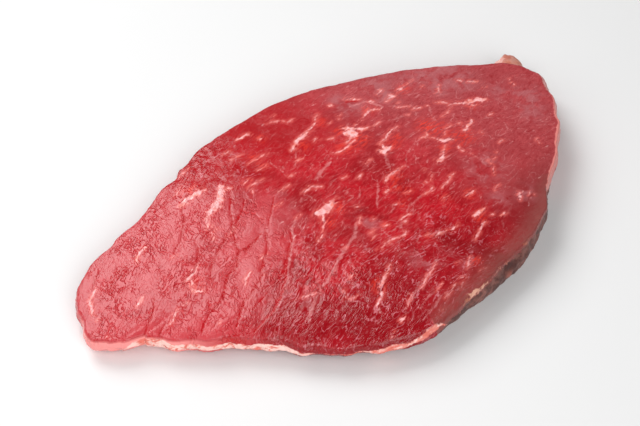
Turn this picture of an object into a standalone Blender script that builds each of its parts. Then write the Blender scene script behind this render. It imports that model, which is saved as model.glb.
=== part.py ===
"""A raw beef steak, cut across the grain, lying flat on its cut face.

One solid: a leaf-shaped slice of boneless meat about 26 cm long and 2 cm thick,
thinner towards its left tip, with an overhanging fat edge at the front left, a
browned wall at the front right and a small tag of fat at the far right.
+X runs along the slice, +Y across it, +Z up, and the underside lies at z = 0.
"""

import math

import bmesh
import bpy
import numpy as np
from mathutils import Matrix, Vector

# Driving sizes, in metres
HALF_LENGTH = 0.129
HALF_WIDTH = 0.076
EDGE_HEIGHT = 0.0150
CROWN = 0.0050
RISE_ALONG = 0.028
FALL_ACROSS = 0.012
EDGE_ROUND = 0.0020
EDGE_ROUND_START = 0.93

# The rim of the cut face: points in millimetres,
# from the left tip over the far edge to the right end and back along the front
RIM_POINTS = (
    (-128.5, 3.5), (-127, 12), (-121, 29), (-111, 38), (-93, 45.5), (-76.5, 51.5),
    (-58.5, 61), (-52.5, 62.5), (-46.5, 66.5), (-27, 74), (-9, 76.5), (11, 78), (26, 76.5),
    (55.5, 68.5), (80.5, 59), (105.5, 45), (123, 33.5), (129, 22), (126, 6), (118, -9.5),
    (105.5, -24), (87, -39.5), (74, -52.5), (59, -60.5), (39.5, -66), (20, -71),
    (5, -74), (-5, -75), (-25.5, -70.5), (-38.5, -64), (-54.5, -53), (-64, -43), (-78, -31.5),
    (-90, -24.5), (-102, -15.5), (-108.5, -9), (-118, -5.5), (-123, -2.5),
)
MILLIMETRE = 0.001
RIM_PULL = 2.5

# The mesh: cells along and across the cut face, and how deep each ring of the wall lies
CELLS_ALONG = 68
CELLS_ACROSS = 40
WALL_DEPTHS = (0.12, 0.30, 0.48, 0.66, 0.84, 1.0)

# The wall, by direction in degrees round the slice (0 right, 90 far, 270 near):
# how far it bulges at mid height and how far it is drawn in at the base
BULGE_EVENLY = 0.0010
BULGES = (
    {"direction": 14, "spread": 12, "size": 0.0028},
    {"direction": 60, "spread": 40, "size": 0.0010},
    {"direction": 262, "spread": 7, "size": 0.0020},
    {"direction": 291, "spread": 10, "size": 0.0028},
)
UNDERCUT_EVENLY = 0.0030
UNDERCUTS = (
    {"direction": 190, "spread": 10, "size": 0.0030},
    {"direction": 222, "spread": 25, "size": 0.0045},
    {"direction": 260, "spread": 18, "size": 0.0080},
    {"direction": 300, "spread": 16, "size": 0.0010},
)
LIP_EVENLY = 0.18
LIPS = (
    {"direction": 210, "spread": 24, "size": 0.25},
    {"direction": 248, "spread": 12, "size": -0.12},
)

# Where the cut face sinks towards its rim: direction, spread and depth
SAG_START = 0.72
SAGS = (
    {"direction": 248, "spread": 22, "size": 0.0025},
)

# Broad swells and dips of the cut face: place, reach and height
SWELLS = (
    {"at": (-0.096, 0.010), "reach": 0.026, "height": 0.0006},
    {"at": (-0.050, 0.040), "reach": 0.024, "height": 0.0007},
    {"at": (0.010, 0.020), "reach": 0.030, "height": -0.0005},
    {"at": (0.030, -0.045), "reach": 0.022, "height": 0.0007},
    {"at": (0.078, 0.034), "reach": 0.026, "height": 0.0006},
    {"at": (0.104, 0.000), "reach": 0.020, "height": -0.0006},
)

# Seams between muscle bundles: shallow grooves along a few points
SEAMS = (
    {"path": ((-0.071, -0.021), (-0.048, -0.005), (-0.033, 0.018)), "width": 0.0040, "depth": 0.0008},
    {"path": ((-0.079, 0.012), (-0.071, 0.015), (-0.069, 0.026)), "width": 0.0035, "depth": 0.0007},
    {"path": ((-0.063, 0.003), (-0.051, 0.013), (-0.047, 0.021)), "width": 0.0035, "depth": 0.0006},
    {"path": ((0.040, 0.061), (0.048, 0.057), (0.060, 0.054)), "width": 0.0040, "depth": 0.0006},
)

# Bundles of fibres that stand up as low ridges, running across the slice
BUNDLE_DIRECTION = 45
BUNDLE_SPACING = 0.0115
BUNDLE_HEIGHT = 0.00035
BUNDLE_CENTRE = (-0.045, -0.003)
BUNDLE_REACH = (0.052, 0.040)

# The tag of fat that sticks out of the wall at the far right
TAG_CENTRE = (0.1240, 0.0345, 0.0105)
TAG_RADII = (0.0074, 0.0115, 0.0045)
TAG_TURN = -37
TAG_SEGMENTS = 16
TAG_RINGS = 10

MEAT_COLOUR = (0.52, 0.055, 0.065, 1.0)
MEAT_ROUGHNESS = 0.38


def clear_scene():
    for item in list(bpy.data.objects):
        bpy.data.objects.remove(item, do_unlink=True)


def make_material():
    material = bpy.data.materials.new("raw beef")
    material.use_nodes = True
    shader = material.node_tree.nodes["Principled BSDF"]
    shader.inputs["Base Color"].default_value = MEAT_COLOUR
    shader.inputs["Roughness"].default_value = MEAT_ROUGHNESS
    shader.inputs["Metallic"].default_value = 0.0
    material.diffuse_color = MEAT_COLOUR
    return material


def read_rim():
    """Angles round the slice and how far each rim point lies out of the plain ellipse."""
    points = np.array(RIM_POINTS) * MILLIMETRE
    across = points[:, 0] / HALF_LENGTH
    up = points[:, 1] / HALF_WIDTH
    angles = np.arctan2(up, across) % math.tau
    order = np.argsort(angles)
    return angles[order], np.hypot(across, up)[order]


RIM_ANGLES, RIM_FACTORS = read_rim()


def rim_factor(angle):
    """Smooth closed curve through the rim points: cubic between neighbours, in the angle."""
    count = len(RIM_ANGLES)
    angle = angle % math.tau
    place = int(np.searchsorted(RIM_ANGLES, angle)) - 1

    def knot(index):
        turns, rest = divmod(index, count)
        return RIM_ANGLES[rest] + turns * math.tau, RIM_FACTORS[rest]

    before, start, end, after = (knot(place + step) for step in (-1, 0, 1, 2))
    span = end[0] - start[0]
    share = (angle - start[0]) / span
    slope_start = (end[1] - before[1]) / (end[0] - before[0]) * span
    slope_end = (after[1] - start[1]) / (after[0] - start[0]) * span
    rise = end[1] - start[1]
    bend = slope_start * (1 - share) - slope_end * share
    ease = share * share * (3 - 2 * share)
    return start[1] + rise * ease + share * (1 - share) * (bend + rise * (2 * share - 1))


def place_on_face(radius, angle):
    """Plan position: an ellipse in the middle that takes the rim's form towards the edge."""
    factor = 1 + (rim_factor(angle) - 1) * radius ** RIM_PULL
    x = HALF_LENGTH * math.cos(angle) * radius * factor
    y = HALF_WIDTH * math.sin(angle) * radius * factor
    return x, y


def rim_normal(angle):
    """Outward direction of the rim in plan."""
    step = 0.02
    ahead = place_on_face(1.0, angle + step)
    behind = place_on_face(1.0, angle - step)
    along = Vector((ahead[0] - behind[0], ahead[1] - behind[1]))
    along.normalize()
    return along.y, -along.x


def fade(angle, direction, spread):
    """1 in one direction round the slice, falling softly to 0 beside it."""
    away = (math.degrees(angle) - direction + 180) % 360 - 180
    return math.exp(-((away / spread) ** 2))


def total(items, angle):
    """Sum of what each listed direction adds at one angle."""
    return sum(item["size"] * fade(angle, item["direction"], item["spread"]) for item in items)


def distance_to_path(x, y, path):
    nearest = math.inf
    for start, end in zip(path, path[1:]):
        run = Vector(end) - Vector(start)
        share = (Vector((x, y)) - Vector(start)).dot(run) / run.length_squared
        foot = Vector(start) + run * min(1.0, max(0.0, share))
        nearest = min(nearest, (Vector((x, y)) - foot).length)
    return nearest


def relief(x, y):
    """Swells, seams and fibre bundles of the cut face."""
    height = 0.0
    for swell in SWELLS:
        away = math.hypot(x - swell["at"][0], y - swell["at"][1]) / swell["reach"]
        height += swell["height"] * math.exp(-away * away)
    for seam in SEAMS:
        away = distance_to_path(x, y, seam["path"]) / seam["width"]
        height -= seam["depth"] * math.exp(-away * away)
    turn = math.radians(BUNDLE_DIRECTION)
    across = y * math.cos(turn) - x * math.sin(turn)
    along = x * math.cos(turn) + y * math.sin(turn)
    wave = math.sin(math.tau * (across + 0.0015 * math.sin(along / 0.009)) / BUNDLE_SPACING)
    away_x = (x - BUNDLE_CENTRE[0]) / BUNDLE_REACH[0]
    away_y = (y - BUNDLE_CENTRE[1]) / BUNDLE_REACH[1]
    return height + BUNDLE_HEIGHT * wave * math.exp(-away_x ** 2 - away_y ** 2)


def face_height(x, y, radius, angle):
    """Height of the cut face: a tilted crown that sags in places and rounds over at its rim."""
    edge = max(0.0, (radius - EDGE_ROUND_START) / (1 - EDGE_ROUND_START))
    sag = max(0.0, (radius - SAG_START) / (1 - SAG_START))
    height = EDGE_HEIGHT + RISE_ALONG * x - FALL_ACROSS * y + CROWN * (1 - radius * radius)
    height -= EDGE_ROUND * edge * edge + total(SAGS, angle) * sag * sag
    return height + relief(x, y) * (1 - edge)


def wall_offset(angle, depth):
    """How far the wall stands out of the rim, at a depth from 0 at the rim to 1 at the base."""
    bulge = BULGE_EVENLY + total(BULGES, angle)
    undercut = UNDERCUT_EVENLY + total(UNDERCUTS, angle)
    lip = LIP_EVENLY + total(LIPS, angle)
    drawn = max(0.0, (depth - lip) / (1 - lip))
    return bulge * math.sin(math.pi * depth) - undercut * drawn ** 1.5


def shape_face(bm, angle_layer):
    """Carry the square grid to the disc and the disc to the cut face."""
    for vert in bm.verts:
        a, b = vert.co.x, vert.co.y
        across = a * math.sqrt(1 - b * b / 2)
        up = b * math.sqrt(1 - a * a / 2)
        angle = math.atan2(up, across)
        radius = min(1.0, math.hypot(across, up))
        x, y = place_on_face(radius, angle)
        vert.co = (x, y, face_height(x, y, radius, angle))
        vert[angle_layer] = angle


def drop_wall(bm, angle_layer):
    """Extrude the border down to the base, ring by ring, and close it with one flat face."""
    border = [edge for edge in bm.edges if edge.is_boundary]
    for depth in WALL_DEPTHS:
        made = bmesh.ops.extrude_edge_only(bm, edges=border)["geom"]
        border = [item for item in made if isinstance(item, bmesh.types.BMEdge)]
        border = [edge for edge in border if edge.is_boundary]
        for vert in [item for item in made if isinstance(item, bmesh.types.BMVert)]:
            angle = vert[angle_layer]
            x, y = place_on_face(1.0, angle)
            out_x, out_y = rim_normal(angle)
            offset = wall_offset(angle, depth)
            height = face_height(x, y, 1.0, angle) * (1 - depth)
            vert.co = (x + out_x * offset, y + out_y * offset, height)
    bmesh.ops.contextual_create(bm, geom=border)


def make_slice():
    bm = bmesh.new()
    angle_layer = bm.verts.layers.float.new("angle")
    bmesh.ops.create_grid(bm, x_segments=CELLS_ALONG, y_segments=CELLS_ACROSS, size=1.0)
    shape_face(bm, angle_layer)
    drop_wall(bm, angle_layer)
    bmesh.ops.recalc_face_normals(bm, faces=bm.faces)
    sloping = [face for face in bm.faces if len(face.verts) == 4]
    bmesh.ops.triangulate(bm, faces=sloping)
    mesh = bpy.data.meshes.new("steak")
    bm.to_mesh(mesh)
    bm.free()
    return bpy.data.objects.new("steak", mesh)


def make_tag():
    """The tag of fat, an egg that the slice is joined with."""
    bm = bmesh.new()
    place = Matrix.Translation(TAG_CENTRE) @ Matrix.Rotation(math.radians(TAG_TURN), 4, "Z")
    place = place @ Matrix.Diagonal((*TAG_RADII, 1.0))
    bmesh.ops.create_uvsphere(
        bm, u_segments=TAG_SEGMENTS, v_segments=TAG_RINGS, radius=1.0, matrix=place
    )
    mesh = bpy.data.meshes.new("fat_tag_form")
    bm.to_mesh(mesh)
    bm.free()
    return bpy.data.objects.new("fat_tag_form", mesh)


def centre_on_base(steak):
    """Move the mesh so that the origin is the middle of its box, on the underside."""
    xs = [vert.co.x for vert in steak.data.vertices]
    ys = [vert.co.y for vert in steak.data.vertices]
    middle = Vector(((min(xs) + max(xs)) / 2, (min(ys) + max(ys)) / 2, 0.0))
    steak.data.transform(Matrix.Translation(-middle))


def join_tag(steak, tag):
    """Boolean union, applied, after which the separate form of the tag goes."""
    union = steak.modifiers.new("tag", "BOOLEAN")
    union.operation = "UNION"
    union.solver = "EXACT"
    union.object = tag
    bpy.context.view_layer.update()
    depsgraph = bpy.context.evaluated_depsgraph_get()
    joined = bpy.data.meshes.new_from_object(steak.evaluated_get(depsgraph))
    steak.modifiers.clear()
    steak.data = joined
    joined.name = "steak"
    bpy.data.objects.remove(tag, do_unlink=True)


def main():
    clear_scene()
    parts = bpy.data.collections.new("beef steak")
    bpy.context.scene.collection.children.link(parts)
    steak = make_slice()
    tag = make_tag()
    parts.objects.link(steak)
    parts.objects.link(tag)
    steak.data.materials.append(make_material())
    join_tag(steak, tag)
    centre_on_base(steak)
    steak.data.shade_smooth()


main()
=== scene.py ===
# A raw beef steak on a pale floor: the cut face, its marbling, creases and fat edge.
import math

import bpy
import numpy as np
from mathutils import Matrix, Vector


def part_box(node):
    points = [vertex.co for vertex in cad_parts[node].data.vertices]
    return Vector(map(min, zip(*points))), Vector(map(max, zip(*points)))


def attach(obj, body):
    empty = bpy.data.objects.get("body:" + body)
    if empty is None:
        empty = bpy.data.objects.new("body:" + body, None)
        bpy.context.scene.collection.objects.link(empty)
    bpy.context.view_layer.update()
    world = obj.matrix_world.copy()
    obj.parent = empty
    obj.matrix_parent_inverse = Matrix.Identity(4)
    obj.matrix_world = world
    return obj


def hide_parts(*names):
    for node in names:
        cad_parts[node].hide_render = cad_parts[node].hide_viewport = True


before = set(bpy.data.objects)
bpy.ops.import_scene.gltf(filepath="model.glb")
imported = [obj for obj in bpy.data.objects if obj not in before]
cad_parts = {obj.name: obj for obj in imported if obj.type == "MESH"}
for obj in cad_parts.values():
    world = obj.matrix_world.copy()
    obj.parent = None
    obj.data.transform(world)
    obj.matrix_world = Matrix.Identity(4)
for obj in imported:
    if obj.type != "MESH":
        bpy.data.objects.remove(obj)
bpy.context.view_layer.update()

steakLow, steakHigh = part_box("steak")
print("frame loaded, slice", [round(high - low, 4) for low, high in zip(steakLow, steakHigh)])

mm = 0.001
fullTurn = 2 * math.pi


# Camera: where it stands and looks, in metres, its lens and sensor, and the photo's size in pixels
view = {
    "place": (-0.2670, -0.3754, 0.5233), "aim": (-0.0125, 0.0018, 0.0180),
    "lens": 85.0, "sensor": 36.0, "photo": (640, 426),
}

# The marks below were read on a level sheet at the slice's mean height, as the camera sees it.
sheet = {"height": 0.018, "shift": (0.00341, 0.00514)}


# The form of the slice: sizes in metres, rim points in millimetres, directions in degrees
slab = {
    "halfLength": 0.129, "halfWidth": 0.076, "edgeHeight": 0.0150, "crown": 0.0050,
    "riseAlong": 0.028, "fallAcross": 0.012, "shoulder": 0.0010, "shoulderReach": 0.0012,
    "rimPull": 2.5, "rimRough": 0.0055, "rimTurns": (19, 14), "shift": (-0.00193, -0.00154, 0.0),
    "rimPoints": (
        (-128.5, 3.5), (-127, 12), (-121, 29), (-111, 38), (-93, 45.5), (-76.5, 51.5),
        (-58.5, 61), (-52.5, 62.5), (-46.5, 66.5), (-27, 74), (-9, 76.5), (11, 78), (26, 76.5),
        (55.5, 68.5), (80.5, 59), (105.5, 45), (123, 33.5), (129, 22), (126, 6), (118, -9.5),
        (105.5, -24), (87, -39.5), (74, -52.5), (59, -60.5), (39.5, -66), (20, -71),
        (5, -74), (-5, -75), (-25.5, -70.5), (-38.5, -64), (-54.5, -53), (-64, -43), (-78, -31.5),
        (-90, -24.5), (-102, -15.5), (-108.5, -9), (-118, -5.5), (-123, -2.5),
    ),
    "cellsAlong": 386, "cellsAcross": 202,
    "wallDepths": (
        0.03, 0.08, 0.14, 0.20, 0.26, 0.32, 0.38, 0.43, 0.48, 0.53, 0.59, 0.66, 0.74, 0.83, 0.93, 1.0,
    ),
    "wallLumps": 0.0009, "wallTurns": (26, 18), "wallSlide": (3, 5),
    "bulgeEvenly": 0.0010,
    "bulges": ((14, 12, 0.0028), (60, 40, 0.0010), (262, 7, 0.0020), (291, 10, 0.0028)),
    "undercutEvenly": 0.0030,
    "undercuts": ((190, 10, 0.0030), (222, 25, 0.0045), (260, 18, 0.0080), (300, 16, 0.0010)),
    "lipEvenly": 0.18,
    "lips": ((210, 24, 0.25), (248, 12, -0.12)),
    "pitAt": (290.5, 0.36), "pitSpread": (2.6, 0.25), "pitSink": 0.0016,
    "ballSpread": (1.3, 0.11), "ballRise": 0.0016,
    "sagStart": 0.72, "sags": ((248, 22, 0.0025),),
    "swells": (
        (-0.096, 0.010, 0.026, 0.0006), (-0.050, 0.040, 0.024, 0.0007), (0.010, 0.020, 0.030, -0.0005),
        (0.030, -0.045, 0.022, 0.0007), (0.078, 0.034, 0.026, 0.0006), (0.104, 0.000, 0.020, -0.0006),
    ),
}


# Gradient noise: each lattice corner has a random slope, blended by 6t^5 - 15t^4 + 10t^3
def smoothNoise(x, y, seed):
    x0 = np.floor(x).astype(np.int64)
    y0 = np.floor(y).astype(np.int64)
    u = x - x0
    v = y - y0

    def corner(stepX, stepY):
        mixed = ((x0 + stepX) * 374761393 + (y0 + stepY) * 668265263 + seed * 974634777) & 0xFFFFFFFF
        mixed = ((mixed ^ (mixed >> 13)) * 1274126177) & 0xFFFFFFFF
        turn = ((mixed ^ (mixed >> 16)) & 0xFFFFFF) / 0x1000000 * fullTurn
        return np.cos(turn) * (u - stepX) + np.sin(turn) * (v - stepY)

    easeU = u * u * u * (u * (u * 6 - 15) + 10)
    easeV = v * v * v * (v * (v * 6 - 15) + 10)
    near = corner(0, 0) * (1 - easeU) + corner(1, 0) * easeU
    far = corner(0, 1) * (1 - easeU) + corner(1, 1) * easeU
    return near * (1 - easeV) + far * easeV


# Sum of noises, each twice as fine and half as strong as the one before
def layeredNoise(x, y, seed, layers=3):
    return sum(smoothNoise(x * 2 ** k, y * 2 ** k, seed + 17 * k) / 2 ** k for k in range(layers))


# 0 below low, 1 above high, and 3t^2 - 2t^3 between them
def ease(value, low, high):
    share = np.clip((value - low) / (high - low), 0, 1)
    return share * share * (3 - 2 * share)


# What the listed directions add at each angle: size times exp(-(degrees away / spread)^2)
def roundSum(angle, items):
    degrees = np.degrees(angle)
    return sum(
        size * np.exp(-(((degrees - at + 180) % 360 - 180) / spread) ** 2) for at, spread, size in items
    )


rimMarks = np.array(slab["rimPoints"]) * mm / (slab["halfLength"], slab["halfWidth"])
rimAngles = np.arctan2(rimMarks[:, 1], rimMarks[:, 0]) % fullTurn
rimOrder = np.argsort(rimAngles)
rimAngles = rimAngles[rimOrder]
rimReach = np.hypot(rimMarks[:, 0], rimMarks[:, 1])[rimOrder]
knotAngles = np.concatenate((rimAngles[-2:] - fullTurn, rimAngles, rimAngles[:2] + fullTurn))
knotReach = np.concatenate((rimReach[-2:], rimReach, rimReach[:2]))


# A closed curve through the rim points: cubic between neighbours, in the angle
def rimFactor(angle):
    angle = np.mod(angle, fullTurn)
    at = np.searchsorted(rimAngles, angle) + 1
    span = knotAngles[at + 1] - knotAngles[at]
    share = (angle - knotAngles[at]) / span
    rise = knotReach[at + 1] - knotReach[at]
    slopeIn = (knotReach[at + 1] - knotReach[at - 1]) / (knotAngles[at + 1] - knotAngles[at - 1]) * span
    slopeOut = (knotReach[at + 2] - knotReach[at]) / (knotAngles[at + 2] - knotAngles[at]) * span
    bend = slopeIn * (1 - share) - slopeOut * share + rise * (2 * share - 1)
    curve = knotReach[at] + rise * share * share * (3 - 2 * share) + share * (1 - share) * bend
    turnX, turnY = slab["rimTurns"]
    rough = layeredNoise(np.cos(angle) * turnX, np.sin(angle) * turnY, 5, 3)
    return curve + slab["rimRough"] * rough


# An ellipse in the middle that takes the rim's form towards the edge
def placeOnFace(radius, angle):
    factor = 1 + (rimFactor(angle) - 1) * radius ** slab["rimPull"]
    x = slab["halfLength"] * np.cos(angle) * radius * factor
    y = slab["halfWidth"] * np.sin(angle) * radius * factor
    return x, y


# Outward direction of the rim, from the chord between two near angles
def rimNormal(angle):
    step = 0.03
    aheadX, aheadY = placeOnFace(1.0, angle + step)
    behindX, behindY = placeOnFace(1.0, angle - step)
    length = np.hypot(aheadX - behindX, aheadY - behindY)
    return (aheadY - behindY) / length, -(aheadX - behindX) / length


# Distance in from the rim: what is left of the radius, measured along the rim's normal
def fromRim(radius, angle):
    outX, outY = rimNormal(angle)
    rimX, rimY = placeOnFace(np.ones_like(angle), angle)
    return (1 - radius) * np.abs(rimX * outX + rimY * outY)


# A tilted crown that sags in places and turns down over its rim in a quarter round, in metres
def faceHeight(x, y, radius, angle):
    edge = np.clip(1 - fromRim(radius, angle) / slab["shoulderReach"], 0, 1)
    sag = np.clip((radius - slab["sagStart"]) / (1 - slab["sagStart"]), 0, 1)
    height = slab["edgeHeight"] + slab["riseAlong"] * x - slab["fallAcross"] * y
    height = height + slab["crown"] * (1 - radius * radius)
    height = height - slab["shoulder"] * (1 - np.sqrt(1 - edge * edge))
    height = height - roundSum(angle, slab["sags"]) * sag ** 2
    swell = sum(
        rise * np.exp(-((x - atX) ** 2 + (y - atY) ** 2) / reach ** 2)
        for atX, atY, reach, rise in slab["swells"]
    )
    return height + swell * (1 - edge)


# How far the wall stands out of the rim: a bulge at mid height, drawn in below the lip
def wallOffset(angle, depth):
    bulge = slab["bulgeEvenly"] + roundSum(angle, slab["bulges"])
    undercut = slab["undercutEvenly"] + roundSum(angle, slab["undercuts"])
    lip = slab["lipEvenly"] + roundSum(angle, slab["lips"])
    drawn = np.clip((depth - lip) / (1 - lip), 0, 1)
    return bulge * np.sin(np.pi * depth) - undercut * drawn ** 1.5


# 1 at the small pit in the browned wall and less around it: exp(-distance^2) in direction and depth
def wallSpot(degrees, depth, spread):
    aside = (degrees - slab["pitAt"][0]) / spread[0]
    below = (depth - slab["pitAt"][1]) / spread[1]
    return np.exp(-aside ** 2 - below ** 2)


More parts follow.
